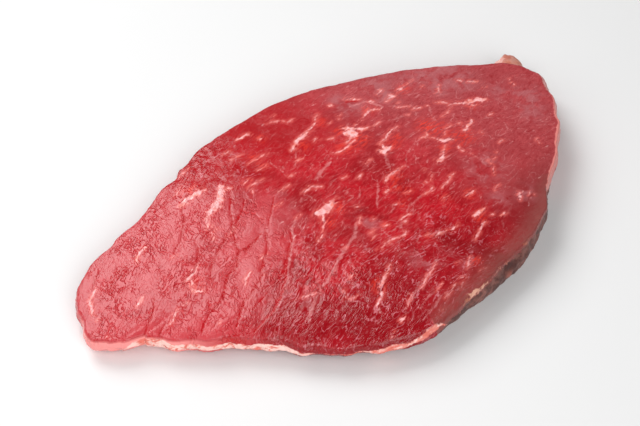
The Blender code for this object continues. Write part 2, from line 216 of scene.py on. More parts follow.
# Marbling: width in millimetres, then the line that the fleck follows on the sheet
flecks = (
    (1.5, (-114, 24.5), (-119, 20), (-121.5, 12.5), (-121, 9)), (1.7, (-103.8, 6), (-98.8, 9)),
    (1.3, (-97, -10), (-94, -8.5), (-92, -6), (-85, -4)), (2.0, (-79, 7), (-76, 8), (-71.5, 11)),
    (1.5, (-77, 6), (-79.5, 0), (-76, -3)), (0.9, (-77.5, 21.5), (-75.5, 21.5)),
    (0.9, (-79.3, -21.5), (-78.7, -21.5)), (0.9, (-122, -1.5), (-122, -0.5)),
    (1.8, (-91.5, 28), (-90, 30), (-87.5, 32), (-84.5, 33)), (2.5, (-60, 45.5), (-54, 47.5), (-47, 48.5)),
    (1.2, (-47, 48.5), (-43, 48)), (3.1, (-37.5, 45.5), (-42, 39.5), (-46, 36), (-50, 35)),
    (1.8, (-50, 35), (-54, 31), (-55.5, 27.5)), (1.2, (-38, 44), (-33.5, 42)),
    (0.9, (-54, 29), (-52.5, 24.5)), (0.9, (-28, 37), (-26, 38.5), (-19, 38.8)),
    (0.8, (-27.5, 34.5), (-26.5, 37)), (1.0, (-28, 41), (-24, 42.3)), (1.0, (-18, 44.5), (-13, 46)),
    (1.5, (-16.5, 67), (-10, 67.5), (-8.5, 66.5)), (1.0, (-26.5, 62.5), (-22, 62.8)),
    (1.0, (-25, 57.8), (-19, 57.8)), (1.0, (-20, 51), (-8.5, 51.8)), (0.9, (-17, 28.3), (-11, 29.5)),
    (1.0, (-50, 62), (-43, 64.5)), (0.9, (-58, 52.5), (-53, 55)),
    (1.5, (-59, -9.5), (-57.5, -7), (-53.5, -5)), (1.7, (-45.5, -1.3), (-42.5, 0)),
    (0.9, (-49.8, -9), (-49.2, -9)), (1.0, (-20, 10.5), (-17, 11.3)), (1.0, (-24, 21.5), (-20, 21.8)),
    (0.9, (-12.5, -16.8), (-10.5, -16.3)), (0.9, (-51, 18.5), (-47.5, 19.5), (-44.5, 21.8)),
    (1.0, (-55, 25), (-57, 20)), (1.0, (-43, -29.5), (-36, -30.5)), (1.0, (-20, -32), (-16.5, -31)),
    (1.0, (-28.5, -40), (-25, -36)), (0.9, (-27.5, -41.5), (-22, -42)),
    (1.6, (0, -35.5), (-5, -38.5), (-9, -41), (-12, -44.5), (-15, -48), (-19, -51)),
    (1.8, (-15, -63), (-12, -62)), (1.0, (-24, -68), (-20, -66)), (3.6, (-10.5, 7), (-5, 7.3), (-1, 9)),
    (1.3, (-2, 9), (0.5, 10.3), (2.5, 10.5)), (1.6, (-8, 6.5), (-10, 2.5), (-13, -1.5)),
    (1.1, (-13, -1.5), (-15, -4), (-19.5, -6.5)),
    (1.5, (-9, 21.5), (-5, 22), (-3, 22.5), (-1, 21), (0.5, 20)), (0.9, (-4, 24), (-2, 22)),
    (1.0, (11, 19.2), (14, 19)), (1.2, (17, 15), (20, 16)), (0.9, (25.5, 20.5), (30, 22)),
    (2.6, (36, 23.5), (38, 22.5), (41, 23)), (1.6, (38, 22.8), (39.3, 26.2)),
    (1.5, (27, 6), (29, 8), (31, 8.5), (35, 9), (39, 9.8)), (1.3, (22.5, 0.5), (25, 1.8)),
    (1.8, (6.7, 0.8), (7.3, 0.8)), (1.5, (21.5, -7.5), (23, -8.2)), (1.6, (41.4, -4.8), (42.2, -4.8)),
    (1.1, (46.2, -1.8), (46.8, -1.8)), (1.1, (45.5, 2.3), (46.1, 2.3)), (0.8, (44, -5), (47, -1.5)),
    (1.2, (36.5, -10.3), (40, -10.3), (42, -8.5)), (1.3, (46, -11.5), (50, -10), (53, -8), (56, -7.2)),
    (2.0, (54, 3.5), (57, 3.5), (59, 5)), (1.2, (59, 5), (63.5, 9.5)),
    (1.0, (41.5, -18), (43, -17), (45, -17)), (1.5, (52, -21.5), (57, -21)),
    (1.2, (18.5, -17.5), (21, -15.8), (24, -16)), (1.2, (19, -19), (20.5, -18.8)),
    (1.2, (0, -25.7), (4, -24.7), (8, -24.3), (12, -24.5), (15, -25), (16.5, -23.5)),
    (1.2, (1.5, -7.8), (3, -7), (4.5, -5.2)), (0.9, (8, -9.5), (9.5, -9)),
    (0.9, (10, -15.3), (12.5, -15.8)), (0.8, (1, -18.7), (4, -17.5)), (0.8, (2, -16), (5, -15)),
    (0.9, (30, -4.2), (33, -5)), (0.9, (22, -30.5), (25, -31)),
    (1.5, (25.5, -32.5), (28, -32.5), (31.5, -33.7)), (1.2, (33, -35), (36, -33.5), (38.5, -33)),
    (2.0, (47, -33.5), (51, -33), (54, -32.3)), (1.5, (54.2, -37), (54.8, -37)),
    (1.2, (57, -39.8), (60.5, -39.5)),
    (1.3, (38.5, -44.7), (42, -43.3), (44.5, -41.5), (47, -39.5), (49.5, -39)), (1.0, (-8, -58), (-3, -54)),
    (1.0, (3, -53.5), (8, -50), (12, -48.5), (16, -46)), (1.0, (7, -58.5), (12, -56.5)),
    (1.2, (8, -64), (12, -62), (16, -60)), (1.1, (3.2, -68), (3.8, -68)), (1.4, (20, -58.5), (22, -59.5)),
    (0.9, (17, -63), (20, -61)), (1.3, (26, -55.7), (28, -54.3), (31, -51)),
    (1.0, (30, -60.2), (33, -60.5)), (0.9, (24, -51), (26, -51)),
    (2.3, (2, 47.2), (3, 47), (5, 49), (8, 51), (12, 51.8), (15, 53)),
    (1.5, (15, 53), (18, 54.3), (21, 55.8)), (1.0, (21, 55.8), (23, 58), (25.5, 60.5)),
    (1.0, (4, 68.2), (7, 66.5), (9.5, 65.3)), (0.9, (2, 69), (8, 71)), (0.9, (10, 63.5), (14, 64)),
    (1.4, (-7, 62), (-5, 61.5)), (1.3, (-8, 33.7), (-6, 33.7)), (1.3, (0, 40), (3, 40)),
    (1.0, (14, 46), (16, 47), (17.5, 45.5)), (1.0, (20, 43.6), (23, 43.3)), (0.9, (26, 52.5), (28, 52.8)),
    (0.9, (31.7, 51.8), (32.3, 51.8)), (1.8, (33.5, 61.8), (34.8, 61.8)), (1.0, (33, 54.5), (35, 54)),
    (4.4, (30.5, 41.3), (33.6, 42)), (3.6, (31.3, 39.4), (33, 39.8)), (1.8, (30, 46), (31, 44), (31.5, 42)),
    (1.5, (28.8, 43), (31, 41.3)), (1.3, (33, 42.3), (35, 43), (37.2, 44)),
    (1.7, (34, 41.6), (36, 41), (40.3, 39.2)), (1.6, (31, 39.5), (28, 37.5), (26, 36.8)),
    (1.5, (17, 35), (19, 33.8), (21, 33.5), (26, 34.5), (30, 36)),
    (1.5, (38, 26.7), (39, 28), (43, 28.3), (45.5, 30.8), (49, 32.3), (52.5, 32)),
    (1.5, (42, 46), (45, 48), (49, 48.5), (52, 47)), (1.0, (43, 38), (46.5, 39.2)),
    (0.8, (38, 44), (42, 45.5)), (1.2, (42, 61.5), (45, 60), (48, 57.5)), (1.4, (51, 53.8), (53, 53)),
    (1.4, (70.5, -37), (72, -34.5), (73.5, -33.2)), (0.9, (75.5, -37), (78, -36)),
    (0.9, (78.3, -38.5), (78.8, -38.5)), (0.9, (70.7, -50), (71.3, -50)),
    (1.3, (57, 19.5), (60, 19), (61.5, 21.5)), (0.8, (60.5, 18), (64, 14)),
    (2.0, (63.5, 14), (65, 12), (67, 11.5), (69, 11)), (1.2, (70.5, 18.5), (74, 18.8)),
    (0.8, (67, 15), (70, 18)), (1.4, (77.7, 17.5), (78.3, 17.5)),
    (1.9, (77, 12), (79, 13), (81, 14.5), (84, 15.5)), (1.3, (93, 14), (95, 13.7)),
    (1.1, (82.7, 6.8), (83.3, 6.8)), (1.2, (68, 5.7), (67.5, 3), (68.5, 1)),
    (1.1, (70.2, -2.7), (70.8, -2.7)), (1.0, (74, -9.5), (78, -9.5)),
    (0.8, (74, -11), (74, -13), (71, -18.5)), (1.3, (85.5, -3.1), (88, -3.2)),
    (0.9, (80.7, -7.2), (81.3, -7.2)), (0.8, (101, -11.5), (102.5, -11), (101, -15)),
    (0.9, (65, -26), (67, -24.8), (69, -24.3)), (1.8, (58, 49.5), (60, 50), (63, 49.8), (61, 51.5)),
    (1.6, (66, 51.5), (68, 52.2), (71, 52.8)), (0.9, (73, 53), (77, 54)), (1.2, (57, 55.5), (61, 56.5)),
    (1.3, (78.2, 47.8), (78.8, 47.8)), (0.9, (61.7, 45), (62.3, 45)), (0.7, (60, 43), (65, 40)),
    (1.4, (65, 37.5), (69, 36.3)), (0.8, (60, 36), (62, 35)), (0.9, (72.2, 36), (72.8, 36)),
    (1.3, (77, 35), (79.5, 34), (81.5, 32)), (1.5, (81.5, 30), (83.5, 30), (86, 28.5), (89, 26.5)),
    (2.6, (88, 27), (92, 26), (95, 25.6), (98, 23.5)), (1.2, (90, 24.5), (93, 22.5)),
    (1.4, (81, 40), (83, 40.5), (84, 43), (86, 44.5)), (1.5, (95, 42), (96.5, 40.5)),
    (1.4, (99, 38), (103, 35.5)), (1.0, (102, 30.5), (104, 30.5)),
    (1.2, (117, 28.5), (116, 26.5), (116.5, 24)), (0.8, (74, 25.5), (78, 26.5), (82, 29)),
)

# Lines that were read in enlarged parts of the photo: each part's corner in pixels and its enlargement
closeUps = {
    "left": ((60, 180), 6.53), "middle": ((240, 180), 7.127),
    "top": ((260, 40), 7.84), "right": ((420, 40), 8.71),
}

# Hair-thin pale lines and grey bands of membrane that join the flecks, on the sheet
veins = (
    (0.8, (9, 2), (15, 10)), (0.8, (32, 10), (36, 17)), (0.8, (40, 9), (45, 15), (50, 17), (57, 19.5)),
    (1.0, (15, -21), (27, -12), (37, -10), (44, -10)), (1.0, (6, -19), (12, -20), (18, -18), (23, -18)),
    (1.2, (14, -5), (21, 4), (24, 9)),
)
# The same, in the pixels of the enlarged parts
closeVeins = {
    "middle": (
        (0.8, (700, 190), (760, 190), (830, 190)), (0.8, (850, 290), (900, 340), (990, 340), (1090, 420)),
        (0.8, (540, 430), (470, 480), (430, 540)), (0.8, (1150, 330), (1180, 400), (1120, 450), (1040, 470)),
        (0.9, (1060, 250), (1110, 180), (1180, 160)), (0.8, (560, 160), (480, 110), (430, 110)),
        (1.6, (400, 270), (375, 340), (370, 430), (350, 540), (345, 640), (330, 720), (300, 830), (240, 960)),
        (2.2, (830, 300), (820, 400), (760, 480), (710, 560), (640, 690), (540, 830), (490, 1010)),
        (1.6, (1380, 620), (1330, 690), (1310, 760), (1240, 800), (1220, 860), (1180, 920)),
        (1.2, (1450, 740), (1380, 790), (1330, 850), (1290, 900)),
        (1.2, (1520, 770), (1470, 810), (1400, 880), (1350, 940), (1300, 1000)),
    ),
    "top": (
        (0.8, (1430, 780), (1290, 755), (1230, 790), (1150, 880), (1150, 950)),
        (0.8, (1450, 810), (1420, 890), (1400, 940)), (0.8, (1500, 500), (1480, 550), (1440, 600)),
        (2.2, (560, 960), (490, 1010), (440, 1090)), (0.8, (280, 870), (280, 960), (230, 1060)),
        (1.2, (980, 870), (990, 960), (1010, 1000)), (0.9, (900, 660), (960, 640), (1060, 620), (1150, 590)),
        (0.9, (1000, 520), (1080, 520), (1180, 520), (1240, 540)), (0.8, (1320, 510), (1340, 590), (1390, 640)),
        (0.8, (60, 950), (140, 1000), (200, 1060)), (1.8, (700, 520), (830, 480), (960, 520)),
    ),
    "right": (
        (0.8, (90, 590), (100, 660), (110, 700)), (0.8, (440, 570), (440, 650)),
        (0.9, (340, 920), (400, 970), (470, 1000), (540, 1050), (580, 1100)),
        (1.0, (730, 720), (770, 770), (740, 800)), (0.8, (1020, 860), (1060, 910)),
    ),
}

# Dark creases on the sheet, then those read in the enlarged left part
creases = (
    (0.7, (-70, -9), (-62, 0)), (0.7, (-45, -15), (-40, -11), (-33, -4), (-30, 0)),
    (0.7, (41, 60), (44.5, 58.6), (48, 56.5)),
)
closeCreases = {
    "left": (
        (1.3, (1130, 360), (1160, 440), (1165, 490), (1150, 560), (1110, 610), (1080, 680), (1060, 760),
         (1030, 820), (980, 870), (940, 940), (925, 1000)),
        (1.1, (1090, 370), (1045, 440), (1020, 490), (1000, 540), (985, 600), (985, 640)),
        (1.3, (1340, 330), (1360, 400), (1350, 450), (1335, 500), (1320, 580), (1300, 660), (1260, 730),
         (1210, 790), (1180, 850), (1150, 960)),
        (1.0, (1310, 350), (1270, 400), (1220, 440), (1190, 460)),
        (1.2, (1490, 440), (1480, 560), (1470, 650), (1440, 760), (1400, 850), (1330, 920), (1270, 990)),
        (0.9, (1500, 340), (1515, 400), (1495, 500)), (0.8, (1220, 120), (1190, 190), (1160, 260), (1130, 300)),
        (0.8, (1115, 80), (1110, 180), (1120, 260), (1135, 330)),
        (0.9, (800, 170), (800, 250), (805, 330), (790, 400), (750, 460), (740, 480)),
        (0.8, (720, 340), (730, 380)), (0.8, (660, 260), (700, 230), (750, 200)),
        (0.8, (790, 500), (830, 540), (885, 555), (880, 590), (850, 610), (800, 650)),
        (0.9, (870, 410), (905, 440), (905, 480), (890, 530)), (0.8, (930, 390), (950, 350), (1000, 320)),
        (1.0, (615, 740), (610, 830), (590, 910), (560, 970), (535, 1040)),
        (0.7, (240, 610), (225, 660), (210, 720)), (0.7, (340, 620), (335, 700), (345, 770)),
        (1.0, (345, 640), (400, 580), (460, 550)), (1.0, (370, 650), (440, 590), (455, 610)),
        (0.8, (640, 1020), (690, 930)), (0.8, (1060, 880), (1020, 930), (1000, 960)),
        (0.9, (730, 700), (790, 670), (830, 690), (850, 720)), (0.8, (735, 740), (790, 700)),
        (0.8, (740, 820), (800, 770)), (0.9, (1200, 460), (1270, 410), (1320, 340)),
        (0.7, (1400, 100), (1380, 200), (1350, 300)), (0.8, (1250, 850), (1300, 800), (1350, 740)),
    ),
}


# Soft blobs: place on the sheet and reach, in millimetres
orangeGlows = (
    (-77, 3, 4), (-50, 51, 5), (-26, 41.5, 2.5), (-15, 46, 2.5), (-15.5, 52.5, 3), (-9, 0, 3.5), (0, 5, 3.5),
    (43, 23, 3), (32, 6.5, 3.5), (28.5, 1, 2.5), (25, -9, 2.5), (62, 8, 3), (43, -17.5, 2.5), (54.5, -21.5, 3),
    (11, -15.5, 2), (31.5, -4.5, 2.5), (23.5, -31, 2), (32, -54.5, 2.5), (8, 46.5, 3.5), (23.5, 55, 3),
    (-6, 61.5, 2.5), (23, 34.5, 4), (27, 45, 3), (30, 33.5, 4), (48, 26.5, 3), (47, 49.5, 3), (63, 26.5, 3),
    (-12, -42, 4), (73, 9.5, 6), (66, 22, 6), (34, 36, 4), (49, -35, 3), (70, 51.5, 3), (91, 24, 3),
)
greyFilms = (
    (12.5, -42, 6), (42, 55, 6), (38, 64, 4), (63, -31, 5), (76, -36, 5), (117, 15, 7), (108, 24, 6),
    (60, 52, 6), (84, 42, 5), (70, -13, 9), (5, -10, 5), (28, -50, 6), (96, 38, 7), (112, 6, 7),
    (62, 64, 8), (80, 57, 8), (98, 48, 8), (90, 52, 7),
)

# How the small flecks that aren't listed one by one are spread
smallFlecks = {
    "seed": 11, "count": 210, "width": (0.45, 0.95), "length": (1.0, 4.5), "direction": 14, "spread": 28,
    "radius": (0.02, 0.86), "height": 0.017, "leftShare": 0.25, "leftEnd": (-45, -5),
}

# The fat and the browned crust round the edge: direction, then where the band starts and ends,
# in millimetres past the rim
edgeBands = {
    "frontFat": (
        (183, 9, 9), (186, 1.5, 4), (189, 0.0, 7), (192, 0.0, 7), (197, 1.6, 5.6), (205, 2.6, 6.2),
        (213, 2.8, 7.0), (219, 3.0, 7.5), (224, 1.2, 7.5), (230, 1.0, 7.0), (235, 1.8, 6.0),
        (239, 2.4, 4.6), (241, 5, 5),
    ),
    "lipFat": (
        (240, 5, 5), (243, 2.2, 3.2), (249, 2.2, 3.2), (253, 2.2, 3.6), (255, 1.2, 9), (258.5, 0.4, 9),
        (260.5, 1.2, 5.5), (262, 1.6, 3.6), (264.5, 0.7, 2.5), (266, -0.5, 2.4), (268, -0.9, 1.8),
        (269.5, -0.2, 1.2), (272, 5, 5),
    ),
    "rightFat": (
        (316, 4, 4), (321, -1.4, 2.0), (327, -2.0, 5.0), (338, -2.3, 7.0), (348, -2.2, 8.0),
        (356, -1.6, 8.0), (364, -1.2, 8.0), (374, -0.9, 7.0), (384, -0.5, 3.0), (391, 3, 3),
    ),
    "fringe": (
        (273, 4, 4), (275.5, -0.7, 0.5), (278, -1.9, 0.9), (280, -1.2, 0.6), (284, -0.3, 0.3),
        (289, -0.8, 0.5), (294, -0.2, 0.3), (300, -0.7, 0.4), (306, -0.3, 0.2), (312, -0.1, 0.2),
        (316, 3, 3),
    ),
    "browned": (
        (268, 4, 4), (272, 1.4, 30), (277, 0.7, 30), (290, 0.2, 30), (308, 0.2, 30), (318, 0.8, 30),
        (326, 4, 30), (330, 30, 30),
    ),
}
# How far each band's border wanders, in millimetres
bandWander = {"frontFat": 0.4, "lipFat": 0.4, "rightFat": 0.6, "fringe": 1.1, "browned": 0.8}
wallReach = 14.0  # what the wall's full height counts as, in millimetres past the rim


# The level sheet's places of strokes read in a close-up: where the line of sight through a pixel meets it
def ontoSheet(strokes, closeUp):
    corner, zoom = closeUps[closeUp]
    eye, aim = np.array(view["place"]), np.array(view["aim"])
    forward = (aim - eye) / np.linalg.norm(aim - eye)
    right = np.cross(forward, (0, 0, 1))
    right = right / np.linalg.norm(right)
    up = np.cross(right, forward)
    pixel = view["sensor"] / view["lens"] / view["photo"][0]
    carried = []
    for width, *points in strokes:
        aside, down = ((np.array(points) / zoom + corner - np.array(view["photo"]) / 2) * pixel).T
        sight = forward + np.outer(aside, right) - np.outer(down, up)
        reach = (sheet["height"] - eye[2]) / sight[:, 2]
        places = (eye[:2] + sight[:, :2] * reach[:, None] + sheet["shift"]) / mm
        carried.append((width, *map(tuple, places)))
    return carried


for closeUp, strokes in closeVeins.items():
    veins += tuple(ontoSheet(strokes, closeUp))
for closeUp, strokes in closeCreases.items():
    creases += tuple(ontoSheet(strokes, closeUp))


# Where the camera sees a point on the level sheet: along the line of sight, then shifted
def seenPlace(x, y, z):
    eyeX, eyeY, eyeZ = view["place"]
    reach = (eyeZ - sheet["height"]) / (eyeZ - z)
    sheetX = eyeX + (x - eyeX) * reach + sheet["shift"][0]
    sheetY = eyeY + (y - eyeY) * reach + sheet["shift"][1]
    return sheetX / mm, sheetY / mm


# Distance to a line of points, and the share of its length at the nearest place
def strokeDistance(x, y, points):
    points = np.array(points, float)
    steps = np.hypot(*(points[1:] - points[:-1]).T)
    before = np.concatenate(((0.0,), np.cumsum(steps)))
    nearest = np.full(x.shape, 99.0)
    share = np.zeros(x.shape)
    for start, end, walked, step in zip(points, points[1:], before, steps):
        run = end - start
        along = np.clip(((x - start[0]) * run[0] + (y - start[1]) * run[1]) / (step * step), 0, 1)
        away = np.hypot(x - start[0] - run[0] * along, y - start[1] - run[1] * along)
        closer = away < nearest
        nearest = np.where(closer, away, nearest)
        share = np.where(closer, (walked + along * step) / before[-1], share)
    return nearest, share


# Highest of (half width, narrowed at the ends) - distance over all strokes, in millimetres
def paintStrokes(x, y, strokes, reach, taper, swell=1.0):
    field = np.full(x.shape, -reach)
    for width, *points in strokes:
        xs, ys = zip(*points)
        near = (x > min(xs) - reach) & (x < max(xs) + reach) & (y > min(ys) - reach) & (y < max(ys) + reach)
        away, share = strokeDistance(x[near], y[near], points)
        half = width ** swell * 0.42 * (1 - taper + taper * np.sin(np.pi * (0.12 + 0.76 * share)))
        half = half * (1 + 0.9 * smoothNoise(x[near] / 2.1, y[near] / 2.1, 65))
        field[near] = np.maximum(field[near], half - away)
    return field


# Sum of soft round spots: exp(-(distance / reach)^2)
def paintBlobs(x, y, blobs):
    return sum(np.exp(-((x - atX) ** 2 + (y - atY) ** 2) / reach ** 2) for atX, atY, reach in blobs)


# How deep a point lies inside an edge band, in millimetres, negative outside it
def bandDepth(band, degrees, past):
    marks, starts, ends = np.array(edgeBands[band], float).T
    turned = np.where(degrees < marks[0] - 10, degrees + 360, degrees)
    start = np.interp(turned, marks, starts, left=99, right=99)
    end = np.interp(turned, marks, ends, left=99, right=99)
    return np.minimum(past - start, end - past)


# Small flecks at seeded places on the face, each turned near the grain's direction
def scatterFlecks():
    draw = np.random.default_rng(smallFlecks["seed"])
    count = smallFlecks["count"]
    radius = np.sqrt(draw.uniform(*smallFlecks["radius"], count))
    angle = draw.uniform(0, fullTurn, count)
    x, y = placeOnFace(radius, angle)
    x, y = seenPlace(x, y, smallFlecks["height"])
    turn = np.radians(smallFlecks["direction"] + draw.normal(0, smallFlecks["spread"], count))
    half = draw.uniform(*smallFlecks["length"], count) / 2
    width = draw.uniform(*smallFlecks["width"], count)
    leftShare = smallFlecks["leftShare"]
    keep = draw.uniform(0, 1, count) < leftShare + (1 - leftShare) * ease(x, *smallFlecks["leftEnd"])
    strokes = []
    for index in np.nonzero(keep)[0]:
        stepX = math.cos(turn[index]) * half[index]
        stepY = math.sin(turn[index]) * half[index]
        start = (x[index] - stepX, y[index] - stepY)
        strokes.append((width[index], start, (x[index] + stepX, y[index] + stepY)))
    return strokes


# How far out the wall stands at one depth, with its lumps, the small pit and the ball inside it
def wallStandsOut(rimAngle, depth):
    (turnX, turnY), (slideX, slideY) = slab["wallTurns"], slab["wallSlide"]
    acrossX, acrossY = np.cos(rimAngle) * turnX, np.sin(rimAngle) * turnY
    lumps = layeredNoise(acrossX + slideX * depth, acrossY + slideY * depth, 31, 3)
    fade = min(1.0, depth * 4) * (1 - depth * 0.5)
    offset = wallOffset(rimAngle, depth) + slab["wallLumps"] * lumps * fade
    degrees = np.degrees(rimAngle) % 360
    offset = offset - slab["pitSink"] * wallSpot(degrees, depth, slab["pitSpread"])
    return offset + slab["ballRise"] * wallSpot(degrees, depth, slab["ballSpread"])


# The slice: a square grid carried to the disc and on to the cut face, a wall of rings, one flat base
def buildSlice():
    cellsA, cellsB = slab["cellsAlong"], slab["cellsAcross"]
    a, b = np.meshgrid(np.linspace(-1, 1, cellsA + 1), np.linspace(-1, 1, cellsB + 1))
    across = (a * np.sqrt(1 - b * b / 2)).ravel()
    up = (b * np.sqrt(1 - a * a / 2)).ravel()
    angle = np.arctan2(up, across)
    radius = np.minimum(1.0, np.hypot(across, up))
    x, y = placeOnFace(radius, angle)
    z = faceHeight(x, y, radius, angle)

    index = np.arange((cellsA + 1) * (cellsB + 1)).reshape(cellsB + 1, cellsA + 1)
    quads = np.stack((index[:-1, :-1], index[:-1, 1:], index[1:, 1:], index[1:, :-1]), -1).reshape(-1, 4)
    border = np.concatenate((index[0, :-1], index[:-1, -1], index[-1, :0:-1], index[:0:-1, 0]))

    rimAngle = angle[border]
    rimX, rimY = placeOnFace(np.ones(len(border)), rimAngle)
    outX, outY = rimNormal(rimAngle)
    walked = np.concatenate(((0.0,), np.cumsum(np.hypot(np.diff(rimX), np.diff(rimY)))))
    parts = [np.stack((x, y, z), 1)]
    angles, depths, walks, radii = [angle], [np.zeros(len(x))], [np.zeros(len(x))], [radius]
    faces = [quads]
    above = border
    for depth in slab["wallDepths"]:
        offset = wallStandsOut(rimAngle, depth)
        ring = np.arange(len(border)) + sum(len(part) for part in parts)
        parts.append(np.stack((rimX + outX * offset, rimY + outY * offset, z[border] * (1 - depth)), 1))
        angles.append(rimAngle)
        depths.append(np.full(len(border), depth))
        walks.append(walked)
        radii.append(np.ones(len(border)))
        faces.append(np.stack((above, ring, np.roll(ring, -1), np.roll(above, -1)), 1))
        above = ring
    shape = {
        "angle": np.concatenate(angles), "depth": np.concatenate(depths), "walk": np.concatenate(walks),
        "radius": np.concatenate(radii), "topCount": len(x),
    }
    return np.concatenate(parts) + slab["shift"], np.concatenate(faces), above[::-1], shape


# Relief of the cut face: heights in millimetres
relief = {
    "broad": 0.30, "bundles": 0.10, "bundleSpacing": 11.5, "bundleMiddle": (-45, -3), "bundleReach": (52, 40),
    "wrinkles": (0.12, 0.07), "pleats": (0.13, 0.08),
    "folds": -0.06, "cuts": -0.11, "cutWidth": 0.35, "fat": 0.05, "rimFade": (0.955, 1.0),
}


# Lift and sink the cut face: fibre bundles, creases, small wrinkles and the flecks themselves
def addRelief(places, shape, marks):
    top = slice(0, shape["topCount"])
    x, y = places[top, 0] / mm, places[top, 1] / mm
    inside = 1 - ease(shape["radius"][top], *relief["rimFade"])
    along, across = marks["grain"][top, 0], marks["grain"][top, 1]
    crumpled, membrane = marks["crumpled"][top], marks["membrane"][top]
    broad = relief["broad"] * layeredNoise(x / 23, y / 19, 41, 2)
    wave = across / relief["bundleSpacing"] * fullTurn + 1.5 * smoothNoise(along / 14, across / 9, 43)
    (middleX, middleY), (reachX, reachY) = relief["bundleMiddle"], relief["bundleReach"]
    bundles = np.exp(-((x - middleX) / reachX) ** 2 - ((y - middleY) / reachY) ** 2)
    bundles = relief["bundles"] * np.sin(wave) * bundles
    coarse, fine = relief["wrinkles"]
    wrinkles = coarse * smoothNoise(along / 4.2, across / 2.4, 44)
    wrinkles = (wrinkles + fine * smoothNoise(along / 2.2, across / 1.4, 45)) * (1 - 0.75 * membrane)
    loose = crumpled * (1 - 0.9 * membrane) * ease(smoothNoise(x / 12, y / 12, 46), -0.25, 0.15)
    lengthways, sideways = relief["pleats"]
    pleats = lengthways * smoothNoise(along / 6, across / 2.0, 47)
    pleats = loose * (pleats + sideways * smoothNoise(along / 2.0, across / 4.0, 48))
    folds = relief["folds"] * marks["fold"][top]
    cuts = relief["cuts"] * np.exp(-(np.minimum(marks["crease"][top], 0) / relief["cutWidth"]) ** 2)
    fat = relief["fat"] * ease(marks["fleck"][top], -0.4, 0.5)
    height = broad + bundles + pleats + wrinkles * (0.3 + 0.7 * crumpled)
    height = height + folds * (0.2 + 0.8 * crumpled) + cuts + fat
    places[top, 2] += height * inside * mm


# The fibres, the crumpled parts and the membrane over the left: directions in degrees, places in millimetres
face = {
    "grainTurn": 12, "grainWander": (7, 5, 1.5), "curl": 0.0026, "curlStart": 10,
    "crumpledLeft": (-42, -8), "crumpledFront": (-48, -10), "crumpledRight": (10, 75),
    "membraneEnd": -18, "membraneFront": (5, 1.2), "membraneBack": (22, 0.9),
    "membraneWander": 12, "membraneFade": (-24, 8),
}


# Places along and across the fibres: the axes turned, then bent by slow noise and a curl at the left
def grainPlaces(x, y):
    turn = math.radians(face["grainTurn"])
    wanderX, wanderY, ripple = face["grainWander"]
    bendX = wanderX * smoothNoise(x / 42, y / 42, 71)
    bendY = wanderY * smoothNoise(x / 33, y / 33, 72) + ripple * smoothNoise(x / 11, y / 11, 75)
    bendY = bendY + face["curl"] * np.minimum(x - face["curlStart"], 0) ** 2
    along = x * math.cos(turn) + y * math.sin(turn) + bendX
    return along, y * math.cos(turn) - x * math.sin(turn) + bendY


# A sheet place shaken by two noises, so that the drawn strokes lose their straight edges
def shaken(plain, x, y, seed):
    return plain + 0.35 * smoothNoise(x / 1.6, y / 1.6, seed) + 0.7 * smoothNoise(x / 5, y / 5, seed + 1)


# Everything that the material reads at each point: fat, creases, films, edge bands and the grain
def markSlice(places, shape):
    x, y, z = places.T
    plainX, plainY = x / mm, y / mm
    seenX, seenY = seenPlace(x, y, z)
    warpX, warpY = shaken(seenX, seenX, seenY, 61), shaken(seenY, seenX, seenY, 63)
    onTop = shape["depth"] == 0
    along, across = grainPlaces(plainX, plainY)

    listed = paintStrokes(warpX, warpY, flecks, 5.0, 0.55, 1.4)
    small = paintStrokes(warpX, warpY, scatterFlecks(), 4.0, 0.7)
    crease = paintStrokes(warpX, warpY, creases, 3.0, 0.75)

    # The crumpled left and front, and the membrane over the left part
    crumpled = 0.85 * (1 - ease(plainY, *face["crumpledFront"])) * (1 - ease(plainX, *face["crumpledRight"]))
    crumpled = crumpled + 0.9 * (1 - ease(plainX, *face["crumpledLeft"]))
    crumpled = crumpled + 0.30 * smoothNoise(plainX / 13, plainY / 13, 73)
    (frontY, frontRise), (backY, backRise) = face["membraneFront"], face["membraneBack"]
    hazeEnd = face["membraneEnd"] - frontRise * np.maximum(frontY - plainY, 0)
    hazeEnd = hazeEnd - backRise * np.maximum(plainY - backY, 0)
    wander = face["membraneWander"] * smoothNoise(plainX / 11, plainY / 11, 74)
    membrane = 1 - ease(plainX - hazeEnd + wander, *face["membraneFade"])
    foldMask = ease(smoothNoise(along / 9, across / 7, 82), -0.15, 0.25)
    fold = np.exp(-(smoothNoise(along / 6.5 + 0.5, across / 3.0, 81) / 0.10) ** 2) * foldMask

    degrees = np.degrees(shape["angle"]) % 360
    inward = fromRim(shape["radius"], shape["angle"]) / mm
    past = np.where(onTop, -inward, shape["depth"] * wallReach)
    jag = 0.9 * smoothNoise(shape["walk"] / mm / 2.2 + plainX / 2.2, plainY / 2.2, 91)
    bands = {band: bandDepth(band, degrees, past + amount * jag) for band, amount in bandWander.items()}
    return {
        "grain": np.stack((along, across, z / mm), 1),
        "fleck": np.maximum(listed, np.minimum(small - 0.05, 0.15)), "body": listed,
        "vein": paintStrokes(warpX, warpY, veins, 3.0, 0.5), "crease": np.where(onTop, crease, -3.0),
        "fold": fold * onTop, "crumpled": np.clip(crumpled, 0.05, 1), "membrane": membrane,
        "orange": np.clip(paintBlobs(seenX, seenY, orangeGlows), 0, 1.2),
        "film": np.clip(paintBlobs(seenX, seenY, greyFilms), 0, 1),
        "edgeFat": np.maximum(bands["frontFat"], bands["lipFat"]),
        "rightFat": bands["rightFat"], "fringe": bands["fringe"], "browned": bands["browned"], "past": past,
        "pitShade": wallSpot(degrees, shape["depth"], slab["pitSpread"]),
        "ball": wallSpot(degrees, shape["depth"], slab["ballSpread"]),
    }


def addObject(name, data):
    item = bpy.data.objects.new(name, data)
    bpy.context.scene.collection.objects.link(item)
    return item


